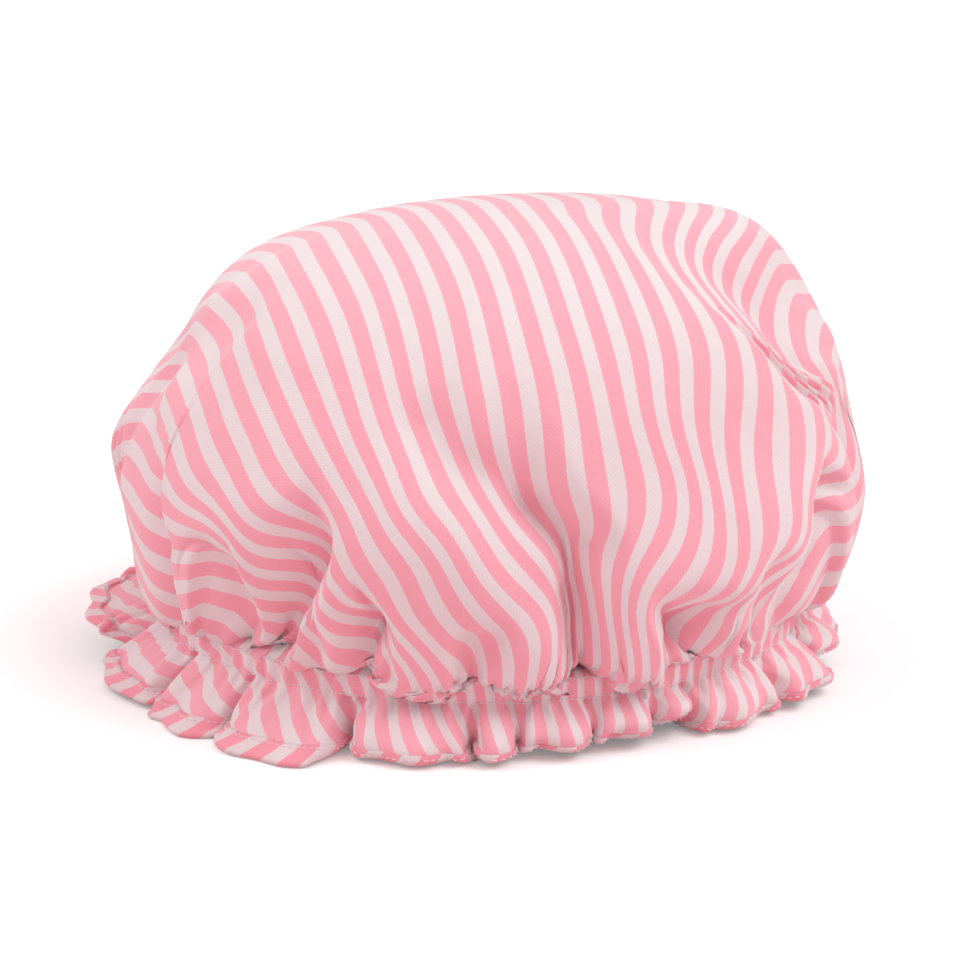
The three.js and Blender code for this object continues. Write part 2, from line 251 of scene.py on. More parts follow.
LEFT_LINE, RIGHT_LINE = outline(LEFT_OUTLINE), outline(RIGHT_OUTLINE)


def form_out_up(shares, angles):
    """The form's shares out and up at a share down the crown and an angle round it."""
    blend = (1 + np.sin(angles)) / 2
    found = []
    for k in (0, 1):
        left = np.interp(shares, LEFT_LINE[0], LEFT_LINE[1][:, k])
        right = np.interp(shares, RIGHT_LINE[0], RIGHT_LINE[1][:, k])
        found.append(left * (1 - blend) + right * blend)
    return found


def form_points(shares, angles):
    out, up = form_out_up(shares, angles)
    return np.stack([
        np.sin(angles) * CROWN_HALF_WIDTH * out,
        -np.cos(angles) * CROWN_HALF_DEPTH * out,
        UPPER_STITCH_Z + up * CROWN_RISE,
    ])


# The form is kept as a table: how far out it is, by angle round and angle up from its middle
ROUND_CELLS, UP_CELLS = 720, 240
UP_LIMIT = math.pi / 2


def polar(x):
    """Angle round, angle up and distance from the form's middle, in units of the form."""
    out = np.hypot(x[0] / CROWN_HALF_WIDTH, x[1] / CROWN_HALF_DEPTH)
    up = (x[2] - FORM_CENTRE_Z) / FORM_UNIT
    angle = np.arctan2(x[0] / CROWN_HALF_WIDTH, -x[1] / CROWN_HALF_DEPTH)
    return angle, np.arctan2(up, out), np.hypot(out, up)


def form_table():
    angles = np.linspace(0, TURN, ROUND_CELLS, endpoint=False)
    ups = np.linspace(-UP_LIMIT, UP_LIMIT, UP_CELLS)
    shares = np.linspace(0, 1, 500)
    size = np.zeros((ROUND_CELLS, UP_CELLS))
    for i, angle in enumerate(angles):
        out, up = form_out_up(shares, np.full_like(shares, angle))
        z = (UPPER_STITCH_Z + up * CROWN_RISE - FORM_CENTRE_Z) / FORM_UNIT
        rise = np.arctan2(z, out)
        order = np.argsort(rise)
        size[i] = np.interp(ups, rise[order], np.hypot(out, z)[order])
    return angles, ups, size


def look_up(table, angle, up):
    a = (angle / TURN * ROUND_CELLS) % ROUND_CELLS
    u = np.clip((up + UP_LIMIT) / (2 * UP_LIMIT) * (UP_CELLS - 1), 0, UP_CELLS - 1.001)
    i, j = a.astype(np.int32), u.astype(np.int32)
    s, t = a - i, u - j
    i %= ROUND_CELLS
    k = (i + 1) % ROUND_CELLS
    near = table[i, j] * (1 - t) + table[i, j + 1] * t
    far = table[k, j] * (1 - t) + table[k, j + 1] * t
    return near * (1 - s) + far * s


def groove_table(angles, ups, size, creases):
    """How deep the folds press into the form."""
    a, u = np.meshgrid(angles, ups, indexing="ij")
    out = np.cos(u) * size
    p = np.stack([
        np.sin(a) * out * CROWN_HALF_WIDTH,
        -np.cos(a) * out * CROWN_HALF_DEPTH,
        np.sin(u) * size * FORM_UNIT + FORM_CENTRE_Z,
    ])
    groove = np.zeros_like(size)
    for depth, width, gentle, line in creases:
        ends = [form_points(np.array(share), np.radians(turn)) for turn, share in line]
        turns = [math.radians(turn) for turn, _ in line]
        nearest = np.full(size.shape, np.inf)
        along = np.zeros(size.shape)
        beside = np.zeros(size.shape)
        count = len(ends) - 1
        for k in range(count):
            start = ends[k][:, None, None]
            way = (ends[k + 1] - ends[k])[:, None, None]
            t = np.clip(((p - start) * way).sum(0) / (way * way).sum(), 0, 1)
            gap = np.sqrt(((p - start - way * t) ** 2).sum(0))
            closer = gap < nearest
            nearest = np.where(closer, gap, nearest)
            along = np.where(closer, (k + t) / count, along)
            turn = turns[k] + (turns[k + 1] - turns[k]) * t
            beside = np.where(closer, (a - turn + math.pi) % TURN - math.pi, beside)
        grow = np.clip(along * 3, 0, 1)
        steep = gentle * beside < 0
        widths = np.where(steep, STEEP_WIDTH, width)
        groove += depth * grow * grow * (3 - 2 * grow) * np.exp(-((nearest / widths) ** 2))
    for height, width, (turn, share) in PUFFS:
        top = form_points(np.array(share), np.radians(turn))[:, None, None]
        groove -= height * np.exp(-((p - top) ** 2).sum(0) / width**2)
    return groove


GUIDE_CORE, GUIDE_FADE = 9.0, 34.0
GUIDE_ROUNDING = 14.0


def guide_tables(angles, ups, size):
    """Over the form: the place across the stripes that the guides ask for, the way it grows, and
    how much it counts."""
    points, wanted = [], []
    for number, line in STRIPE_GUIDES.items():
        for angle, share in line:
            points.append(form_points(np.array(share), np.radians(angle)))
            wanted.append(STRIPE_PITCH * (number - STRIPE_ORIGIN))
    guided = len(points)
    for angle, gathers in BEHIND.items():
        for share, gather in zip(BEHIND_SHARES, gathers):
            points.append(form_points(np.array(share), np.radians(angle)))
            radius = share * UPPER_STITCH_RADIUS * gather
            wanted.append(radius * math.sin(math.radians(angle) - STRIPE_TURN))
    points, wanted = np.array(points), np.array(wanted)
    count = len(points)
    gaps = np.hypot(np.linalg.norm(points[:, None] - points[None], axis=2), GUIDE_ROUNDING)
    plane = np.hstack([points, np.ones((count, 1))])
    system = np.zeros((count + 4, count + 4))
    system[:count, :count] = gaps - np.eye(count) * GUIDE_SMOOTHING
    system[:count, count:] = plane
    system[count:, :count] = plane.T
    system[count:, count:] = np.eye(4) * 1e-6
    weights = np.linalg.solve(system, np.concatenate([wanted, np.zeros(4)]))
    a, u = np.meshgrid(angles, ups, indexing="ij")
    out = np.cos(u) * size
    p = np.stack([
        np.sin(a) * out * CROWN_HALF_WIDTH,
        -np.cos(a) * out * CROWN_HALF_DEPTH,
        np.sin(u) * size * FORM_UNIT + FORM_CENTRE_Z,
    ])
    value = np.full(size.shape, weights[-1])
    slope = np.zeros_like(p)
    nearest = np.full(size.shape, np.inf)
    for k in range(3):
        value += weights[count + k] * p[k]
        slope[k] += weights[count + k]
    for k, (point, weight) in enumerate(zip(points, weights)):
        way = p - point[:, None, None]
        far = (way * way).sum(0)
        gap = np.sqrt(far + GUIDE_ROUNDING**2)
        value += weight * gap
        slope += weight * way / gap
        if k < guided:
            nearest = np.minimum(nearest, np.sqrt(far))
    fade = 1 - np.clip((nearest - GUIDE_CORE) / (GUIDE_FADE - GUIDE_CORE), 0, 1)
    fade = fade * fade * (3 - 2 * fade)
    steep = np.maximum((slope * slope).sum(0), 0.3)
    return value, slope / steep * fade, fade


def follow_guides(x, across, guide, gain):
    """Slides the cloth over the form towards the guides' stripes."""
    value, slope, fade = guide
    angle, up, _ = polar(x)
    error = np.clip(across - look_up(value, angle, up), -8, 8) * gain
    for k in range(3):
        x[k] += (error * look_up(slope[k], angle, up)).astype(np.float32)


def hold(a, b, rest, firm, slack):
    """Moves two groups of points towards their rest distance: firm when stretched."""
    d = b - a
    length = np.sqrt(d[0] * d[0] + d[1] * d[1] + d[2] * d[2]) + np.float32(1e-5)
    extra = length - rest
    share = np.where(extra > 0, np.float32(firm), np.float32(slack))
    d *= share * extra / length * np.float32(0.5)
    a += d
    b -= d


def hold_round(x, rest, firm, slack):
    hold(x[:, :, 0::2], x[:, :, 1::2], rest, firm, slack)
    y = np.roll(x, -1, axis=2)
    hold(y[:, :, 0::2], y[:, :, 1::2], rest, firm, slack)
    x[:] = np.roll(y, 1, axis=2)


def hold_round_far(x, rest, firm, slack, skip):
    for shift in (0, skip):
        y = np.roll(x, -shift, axis=2) if shift else x
        z = y.reshape(3, x.shape[1], -1, 2 * skip)
        hold(z[..., :skip], z[..., skip:], rest[..., None], firm, slack)
        if shift:
            x[:] = np.roll(y, shift, axis=2)


def hold_down(x, rest, firm, slack):
    rows = x.shape[1]
    for s in (0, 1):
        n = (rows - s) // 2
        first, second = x[:, s : s + 2 * n : 2], x[:, s + 1 : s + 2 * n : 2]
        pairs = slice(s, s + 2 * n - 1, 2)
        hold(first, second, rest[pairs], firm, slack[pairs])


def hold_down_far(x, rest, firm, slack, skip):
    rows = x.shape[1]
    for s in range(2 * skip):
        low = np.arange(s, rows - skip, 2 * skip)
        if len(low):
            a, b = x[:, low], x[:, low + skip]
            hold(a, b, rest[low], firm, slack)
            x[:, low], x[:, low + skip] = a, b


def hold_diagonals(x, rest, firm, slack):
    rows = x.shape[1]
    for s in (0, 1):
        n = (rows - s) // 2
        first, second = x[:, s : s + 2 * n : 2], x[:, s + 1 : s + 2 * n : 2]
        for shift in (-1, 1):
            y = np.roll(second, shift, axis=2)
            pairs = slice(s, s + 2 * n - 1, 2)
            hold(first, y, rest[pairs], firm, slack[pairs])
            second[:] = np.roll(y, -shift, axis=2)


def hold_hub(x, radii):
    """Keeps the middle of the circle from opening: distances across it."""
    columns = x.shape[2]
    rows = int(np.searchsorted(radii, 60))
    rest = (2 * radii[:rows]).astype(np.float32)[:, None]
    hub = x[:, :rows]
    half = columns // 2
    hold(hub[:, :, :half], hub[:, :, half:], rest * np.float32(0.995), 0.9, 0.3)
    quarter = columns // 4
    y = np.roll(hub, quarter, axis=2)
    hold(y[:, :, :half], y[:, :, half:], rest * np.float32(0.995), 0.9, 0.3)
    hub[:] = np.roll(y, -quarter, axis=2)


def keep_order(x, least_share):
    """Keeps the columns in their order round the cap, so that folds don't cross."""
    angle = np.arctan2(x[0] / CROWN_HALF_WIDTH, -x[1] / CROWN_HALF_DEPTH)
    gap = np.roll(angle, -1, axis=1) - angle
    gap = (gap + math.pi) % TURN - math.pi
    lack = np.maximum(0, least_share * TURN / x.shape[2] - gap) * 0.5
    move = (np.roll(lack, 1, axis=1) - lack) * np.hypot(x[0], x[1])
    x[0] += (np.cos(angle) * move).astype(np.float32)
    x[1] += (np.sin(angle) * move).astype(np.float32)


def even_out(x, shares):
    """Moves each point towards the middle of its neighbours round and down."""
    round_way = (np.roll(x, 1, axis=2) + np.roll(x, -1, axis=2)) * np.float32(0.5) - x
    x += round_way * shares
    down_way = (x[:, :-2] + x[:, 2:]) * np.float32(0.5) - x[:, 1:-1]
    x[:, 1:-1] += down_way * shares[1:-1]


def row_radii(level):
    """Flat radii of the rows at a level of fineness."""
    marks = (HUB_RADIUS, UPPER_STITCH_RADIUS, LOWER_STITCH_RADIUS, BINDING_TOP_RADIUS, EDGE_RADIUS)
    parts = [np.array([HUB_RADIUS])]
    for low, high, rows in zip(marks, marks[1:], LEVEL_ROWS[level]):
        parts.append(np.linspace(low, high, rows + 1)[1:])
    return np.concatenate(parts)


def ring(angles, half_width, half_depth, z):
    return np.stack([
        np.sin(angles) * half_width,
        -np.cos(angles) * half_depth,
        np.broadcast_to(z, angles.shape),
    ])


def ring_normal(angles):
    v = np.stack([np.sin(angles) * MOUTH_HALF_DEPTH, -np.cos(angles) * MOUTH_HALF_WIDTH])
    return v / np.linalg.norm(v, axis=0)


PLEATS = 112


def pleat_heights(angles, draw):
    """The elastic's small gathers: how far the cloth stands out, from 0 to 1."""
    steps = draw.uniform(0.6, 1.4, PLEATS)
    ends = np.concatenate([[0], np.cumsum(steps)]) / steps.sum() * TURN
    phase = np.interp(angles % TURN, ends, np.arange(PLEATS + 1))
    tall = draw.uniform(0.55, 1, PLEATS + 1)
    tall[-1] = tall[0]
    height = np.interp(phase, np.arange(PLEATS + 1), tall)
    return (0.5 - 0.5 * np.cos(TURN * phase)) * height


def lobe_shape(angles):
    """Over the frill's lobes and tucks: their arch, and how far out, up and aside the edge is."""
    starts = np.array([start for start, _, _ in LOBES], float)
    tucks = np.array([tuck for _, tuck, _ in LOBES], float)
    tops = np.array([top for _, _, top in LOBES], float)
    degrees = (np.degrees(angles) - starts[0]) % 360 + starts[0]
    ends = np.append(starts, starts[0] + 360)
    phase = np.interp(degrees, ends, np.arange(len(ends)))
    i = np.minimum(phase.astype(int), len(LOBES) - 1)
    arch = np.sin(np.pi * np.clip(phase - i, 0, 1)) ** 0.4
    found = []
    for k in (0, 1):
        tuck = np.interp(phase, np.arange(len(ends)), np.append(tucks[:, k], tucks[0, k]))
        found.append(tuck + (tops[i, k] - tuck) * arch)
    widths = np.radians(np.diff(ends))
    aside = -LOBE_SPREAD * widths[i] * np.sin(TURN * (phase - i))
    return arch, found[0], found[1], aside


def frill_points(radii, angles):
    """The frill in its lobes, which bow out on their way down, and how high they are lifted."""
    arch, reach, lift, aside = lobe_shape(angles)
    share = np.clip((radii - LOWER_STITCH_RADIUS) / FRILL_LENGTH, 0, 1)[:, None]
    fall = LOWER_STITCH_Z - FLOOR - lift
    chord = np.hypot(reach, fall)
    bow = chord * np.sqrt(0.375 * np.maximum(FRILL_LENGTH / chord - 1, 0)) * arch * FRILL_BOW
    ruffle = np.sin(RUFFLES * angles + 1.5 * np.sin(3 * angles))
    ruffle = RUFFLE_HEIGHT * ruffle * (0.7 + 0.3 * np.sin(7 * angles + 1)) * arch
    out = (reach + ruffle) * share + bow * np.sin(np.pi * share)
    a = angles + aside * share
    points = ring(a, MOUTH_HALF_WIDTH, MOUTH_HALF_DEPTH, LOWER_STITCH_Z - fall * share)
    points[:2] += ring_normal(a) * out
    return points, lift * share


LEVEL_COLUMNS = (128, 256, 512, 1024)
LEVEL_ROWS = ((14, 1, 3, 1), (26, 2, 5, 2), (46, 2, 8, 3), (76, 4, 10, 4))
LEVEL_STEPS = (300, 250, 200, 120)
LEVEL_PLEAT_HEIGHTS = (0.0, 0.8, 1.3, 1.5)
ORDERED_RADIUS = 20.0
# The least share of its own angle that a column keeps, at flat radii
LEAST_SHARES = ([90, 190], [0.55, 0.22])
GUIDED_RADIUS = 232.0
SMOOTH_HUB_RADIUS = 56.0
# How far round the hub the settled cloth is evened out, and how often
EVEN_HUB_SHARES = ([70, 115], [0.5, 0])
EVEN_HUB_TIMES = 60
# How firmly the cloth resists being squeezed, and how much it is evened out, at flat radii
SQUEEZE_SHARES = ([150, 205, 246, 256, 270, 282], [0.04, 0.12, 0.08, 0.02, 0.03, 0.05])
SHORTEN_SHARES = ([150, 190, 253, 262], [0.5, 0.08, 0.1, 0.35])
EVENING_SHARES = ([60, 120, 190, 253, 262, 282], [0.3, 0.2, 0, 0.05, 0.35, 0.2])
# How firmly the frill is held to its lobes, at each level
LOBE_HOLDS = (0.04, 0.03, 0.02, 0.02)
FORM_GIVE = 3.5
FORM_PUFF = 1.5


def first_shape(radii, angles, groove, draw):
    """The cloth before it settles: the crown on its form, the frill in regular lobes."""
    rho, a = np.meshgrid(radii, angles, indexing="ij")
    x = form_points(np.clip(rho / UPPER_STITCH_RADIUS, 0, 1), a)
    angle, up, size = polar(x)
    press = 1 - look_up(groove, angle, up) / FORM_UNIT / size * 0.95
    x[:2] *= press
    x[2] = (x[2] - FORM_CENTRE_Z) * press + FORM_CENTRE_Z
    frill = frill_points(radii, angles)[0]
    down = np.clip((rho - UPPER_STITCH_RADIUS) / CHANNEL_WIDTH, 0, 1)
    channel = ring(a, MOUTH_HALF_WIDTH, MOUTH_HALF_DEPTH, UPPER_STITCH_Z - CHANNEL_WIDTH * down)
    low = np.where(rho > LOWER_STITCH_RADIUS + 0.01, frill, channel)
    x = np.where(rho > UPPER_STITCH_RADIUS + 0.01, low, x)
    return x + draw.normal(0, 0.25, x.shape)


def finer(x, old_radii, radii, draw, noise):
    """The same cloth with twice the columns and rows."""
    y = np.zeros((3, x.shape[1], x.shape[2] * 2))
    y[:, :, 0::2] = x
    nine = np.roll(x, -1, axis=2) + x
    one = np.roll(x, 1, axis=2) + np.roll(x, -2, axis=2)
    y[:, :, 1::2] = nine * 0.5625 - one * 0.0625
    i = np.clip(np.searchsorted(old_radii, radii, side="right") - 1, 0, len(old_radii) - 2)
    t = ((radii - old_radii[i]) / (old_radii[i + 1] - old_radii[i]))[None, :, None]
    return y[:, i] * (1 - t) + y[:, i + 1] * t + draw.normal(0, noise, (3, len(radii), y.shape[2]))


def settle(x, radii, angles, level, steps, inner, outer, pleats, guide):
    top = int(np.argmin(abs(radii - UPPER_STITCH_RADIUS)))
    bottom = int(np.argmin(abs(radii - LOWER_STITCH_RADIUS)))
    columns = len(angles)
    normal = ring_normal(angles)
    pins = {}
    for row in range(top, bottom + 1):
        t = (radii[row] - radii[top]) / CHANNEL_WIDTH
        z = UPPER_STITCH_Z - CHANNEL_WIDTH * t
        p = ring(angles, MOUTH_HALF_WIDTH + 0.6, MOUTH_HALF_DEPTH + 0.6, z)
        p[:2] += normal * LEVEL_PLEAT_HEIGHTS[level] * (1 + 0.4 * math.sin(math.pi * t)) * pleats
        pins[row] = p.astype(np.float32)

    def chord(skip):
        return (2 * radii * np.sin(skip * math.pi / columns)).astype(np.float32)[:, None]

    round_1, round_2, round_4 = chord(1), chord(2), chord(4)
    down_1 = np.diff(radii).astype(np.float32)[:, None]
    down_2 = (radii[2:] - radii[:-2]).astype(np.float32)[:, None]
    square = radii[:-1] ** 2 + radii[1:] ** 2
    across = np.sqrt(square - 2 * radii[:-1] * radii[1:] * math.cos(TURN / columns))
    across = across.astype(np.float32)[:, None]
    middle = np.array([0, 0, FORM_CENTRE_Z], np.float32)[:, None, None]
    old = x.copy()
    crown, skirt = x[:, :top], x[:, bottom + 1 :]
    ordered = int(np.searchsorted(radii, ORDERED_RADIUS))
    least_share = np.interp(radii[ordered:], *LEAST_SHARES)[:, None]
    guided = int(np.searchsorted(radii, GUIDED_RADIUS))
    squeeze = np.interp(radii, *SQUEEZE_SHARES)[:, None].astype(np.float32)
    shorten = np.interp(radii, *SHORTEN_SHARES)[:, None].astype(np.float32)
    evening = np.interp(radii, *EVENING_SHARES)[:, None].astype(np.float32)
    rho, a = np.meshgrid(radii[:guided], angles, indexing="ij")
    across_stripes = rho * np.sin(a - STRIPE_TURN)
    lobes, lifted = frill_points(radii[bottom + 1 :], angles)
    lobes = lobes.astype(np.float32)
    lowest = (FLOOR + 0.9 * lifted).astype(np.float32)
    for step in range(steps):
        move = x - old
        old = x.copy()
        x += move * np.float32(0.9)
        x[2] -= np.float32(0.01)
        out = crown - middle
        crown += out * (np.float32(0.03) / np.sqrt((out * out).sum(0)))
        hold_round(x, round_1, 0.9, squeeze)
        hold_down(x, down_1, 0.9, shorten[:-1])
        hold_diagonals(x, across, 0.35, 0.3 * squeeze[:-1])
        if step % 2 == 0:
            hold_round_far(x, round_2, 0.1, 0.12, 2)
            hold_down_far(x, down_2, 0.1, 0.12, 2)
            if level:
                hold_round_far(x, round_4, 0.0, 0.02, 4)
        hold_hub(x, radii)
        follow_guides(x[:, :guided], across_stripes, guide, GUIDE_GAINS[level])
        angle, up, size = polar(crown)
        wanted = np.clip(size, look_up(inner, angle, up), look_up(outer, angle, up))
        share = (1 + (wanted / size - 1) * 0.6).astype(np.float32)
        crown[:2] *= share
        crown[2] = (crown[2] - FORM_CENTRE_Z) * share + FORM_CENTRE_Z
        skirt += (lobes - skirt) * np.float32(LOBE_HOLDS[level])
        np.maximum(skirt[2], lowest, out=skirt[2])
        if step % 2:
            keep_order(x[:, ordered:], least_share)
            even_out(x, evening)
        for row, p in pins.items():
            x[:, row] = p
    return x


def smooth_hub(x, radii):
    """Rows inside the hub follow the row round it, with less of its finer waves further in."""
    edge = int(np.searchsorted(radii, SMOOTH_HUB_RADIUS))
    waves = np.fft.rfft(x[:, edge], axis=-1)
    orders = np.arange(waves.shape[-1])
    rise = (x[2, edge].mean() - x[2, edge + 1].mean()) / (radii[edge + 1] - radii[edge])
    for row in range(edge):
        share = radii[row] / radii[edge]
        x[:, row] = np.fft.irfft(waves * share**orders, x.shape[2], axis=-1)
        x[2, row] += 0.5 * rise * radii[edge] * (1 - share * share)
    return x


def gathered_cloth():
    """The outer cloth's rows, angles and points."""
    draw = np.random.default_rng(5)
    table_angles, ups, form = form_table()
    groove = groove_table(table_angles, ups, form, FOLDS)
    guide = guide_tables(table_angles, ups, form)
    inner = form - (groove + FORM_GIVE) / FORM_UNIT
    outer = form + (FORM_PUFF - 0.9 * groove) / FORM_UNIT
    levels = 4
    x = None
    for level in range(levels):
        radii = row_radii(level)
        angles = np.linspace(0, TURN, LEVEL_COLUMNS[level], endpoint=False)
        pleats = pleat_heights(angles, np.random.default_rng(3))
        if x is None:
            x = first_shape(radii, angles, groove, draw)
        else:
            x = finer(x, row_radii(level - 1), radii, draw, 0.12 / level)
        x = np.ascontiguousarray(x, np.float32)
        x = settle(x, radii, angles, level, LEVEL_STEPS[level], inner, outer, pleats, guide)
    x = smooth_hub(x.astype(float), radii)
    hub_shares = np.interp(radii, *EVEN_HUB_SHARES)[:, None]
    for _ in range(EVEN_HUB_TIMES):
        even_out(x, hub_shares)
    return radii, angles, x


def add_mesh(name, points, faces, uv=None):
    """A mesh object of points in millimetres and faces of any corner counts."""
    mesh = bpy.data.meshes.new(name)
    counts = np.concatenate([np.full(len(f), f.shape[1]) for f in faces])
    corners = np.concatenate([f.ravel() for f in faces]).astype(np.int32)
    starts = np.concatenate([[0], np.cumsum(counts)[:-1]]).astype(np.int32)
    mesh.vertices.add(len(points))
    mesh.vertices.foreach_set("co", (points * MM).astype(np.float32).ravel())
    mesh.loops.add(len(corners))
    mesh.loops.foreach_set("vertex_index", corners)
    mesh.polygons.add(len(counts))
    mesh.polygons.foreach_set("loop_start", starts)
    mesh.polygons.foreach_set("use_smooth", np.ones(len(counts), bool))
    mesh.update(calc_edges=True)
    if uv is not None:
        layer = mesh.uv_layers.new(name="cut")
        layer.data.foreach_set("uv", uv[corners].astype(np.float32).ravel())
    mesh.validate()
    thing = bpy.data.objects.new(name, mesh)
    bpy.context.scene.collection.objects.link(thing)
    return thing


def grid_quads(rows, columns, first=0):
    i, j = np.meshgrid(np.arange(rows - 1), np.arange(columns), indexing="ij")
    k = (j + 1) % columns
    quads = np.stack([(i + 1) * columns + j, (i + 1) * columns + k, i * columns + k, i * columns + j], -1)
    return quads.reshape(-1, 4) + first


HUB_STRIDE = 8
HUB_ROWS_RADIUS = 22.0


def disc_object(name, radii, points, uv, flip=False):
    """The circle of cloth: fine rows, and coarser ones with a centre point at the hub."""
    hub = int(np.searchsorted(radii, HUB_ROWS_RADIUS))
    columns = points.shape[2]
    coarse = columns // HUB_STRIDE
    inner = points[:, :hub, ::HUB_STRIDE]
    inner_uv = uv[:hub, ::HUB_STRIDE]
    middle = points[:, 0].mean(1)
    co = np.vstack([
        middle[None],
        np.moveaxis(inner, 0, -1).reshape(-1, 3),
        np.moveaxis(points[:, hub:], 0, -1).reshape(-1, 3),
    ])
    uvs = np.vstack([[[0.5, 0.5]], inner_uv.reshape(-1, 2), uv[hub:].reshape(-1, 2)])
    j = np.arange(coarse)
    fan = np.stack([1 + j, 1 + (j + 1) % coarse, np.zeros(coarse, int)], -1)
    first_fine = 1 + hub * coarse
    last_coarse = 1 + (hub - 1) * coarse
    outer = [first_fine + (j * HUB_STRIDE + n) % columns for n in range(HUB_STRIDE + 1)]
    joint = np.stack(outer + [last_coarse + (j + 1) % coarse, last_coarse + j], -1)
    fine_rows = points.shape[1] - hub
    faces = [fan, grid_quads(hub, coarse, 1), joint, grid_quads(fine_rows, columns, first_fine)]
    if flip:
        faces = [f[:, ::-1] for f in faces]
    return add_mesh(name, co, faces, uvs)


def grid_normals(x):
    """Outward normals of closed rows of points."""
    round_way = np.roll(x, -1, axis=2) - np.roll(x, 1, axis=2)
    down_way = np.gradient(x, axis=1)
    n = np.cross(down_way, round_way, axis=0)
    return n / (np.sqrt((n * n).sum(0)) + 1e-9)


def smooth_rows(x, times, share=0.5):
    for _ in range(times):
        near = (np.roll(x, 1, axis=-1) + np.roll(x, -1, axis=-1)) / 2
        x = x * (1 - share) + near * share
    return x


def row_at(x, radii, radius):
    """The closed line of points at a flat radius."""
    i = int(np.clip(np.searchsorted(radii, radius) - 1, 0, len(radii) - 2))
    t = (radius - radii[i]) / (radii[i + 1] - radii[i])
    return x[:, i] * (1 - t) + x[:, i + 1] * t


def cut_uv(radii, angles, turn):
    """Where each point lay on the cut circle: across the stripes, and along them."""
    rho, a = np.meshgrid(radii, angles, indexing="ij")
    across = rho * np.sin(a - turn) * MM / UV_SPAN + 0.5
    along = -rho * np.cos(a - turn) * MM / UV_SPAN + 0.5
    return np.stack([across, along], -1)


def simple_material(name, colour, roughness=0.8):
    material = bpy.data.materials.new(name)
    material.use_nodes = True
    shader = material.node_tree.nodes["Principled BSDF"]
    shader.inputs["Base Color"].default_value = (*colour, 1)
    shader.inputs["Roughness"].default_value = roughness
    return material


STRIPE_PINK = (0.94, 0.42, 0.5)
STRIPE_WHITE = (0.82, 0.745, 0.755)
# The binding's pink and white are darker copies of the cloth's stripes: painted shade, to darken the frill's edge
BINDING_PINK_PAINTED_SHADE = (0.92, 0.34, 0.42)
BINDING_WHITE_PAINTED_SHADE = (0.8, 0.69, 0.7)


# The cloth: a plain weave, small crinkles, soft creases, and a print with slightly uneven edges
WEAVE_PITCH = 0.7
WEAVE_HEIGHT = 0.03
CRINKLE_SIZE = 3.0
CRINKLE_HEIGHT = 0.16
CREASE_SIZE = 26.0
CREASE_HEIGHT = 1.3
PRINT_BLEED = 0.12
PRINT_UNEVEN = 0.25
TONE_SIZE = 40.0
TONE_SPREAD = 0.05


class Nodes:
    """Short ways of adding linked shader nodes to a material."""

    def __init__(self, material):
        self.nodes = material.node_tree.nodes
        self.links = material.node_tree.links
        self.shader = self.nodes["Principled BSDF"]

    def add(self, kind, inputs=None, **settings):
        node = self.nodes.new(kind)
        for name, value in settings.items():
            setattr(node, name, value)
        for key, value in (inputs or {}).items():
            self.put(node.inputs[key], value)
        return node

    def put(self, socket, value):
        if isinstance(value, bpy.types.NodeSocket):
            self.links.new(value, socket)
        else:
            socket.default_value = value

    def math(self, operation, *values):
        node = self.add("ShaderNodeMath", operation=operation)
        for socket, value in zip(node.inputs, values):
            self.put(socket, value)
        return node.outputs[0]

    def noise(self, vector, size, detail=2.0, roughness=0.5):
        """Noise between 0 and 1 with features of a size in millimetres on the cut."""
        inputs = {"Vector": vector, "Scale": UV_SPAN / (size * MM), "Detail": detail, "Roughness": roughness}
        return self.add("ShaderNodeTexNoise", inputs).outputs[0]

    def bump(self, height, distance, normal=None):
        inputs = {"Height": height, "Distance": distance * MM}
        if normal is not None:
            inputs["Normal"] = normal
        return self.add("ShaderNodeBump", inputs).outputs[0]


def weave_height(kit, across, along):
    """A plain weave: two families of threads that pass over each other in turn."""
    turns = math.pi * UV_SPAN / (WEAVE_PITCH * MM)
    warp = kit.math("SINE", kit.math("MULTIPLY", across, turns))
    weft = kit.math("SINE", kit.math("MULTIPLY", along, turns))
    return kit.math("MULTIPLY_ADD", kit.math("MULTIPLY", warp, weft), 0.5, 0.5)


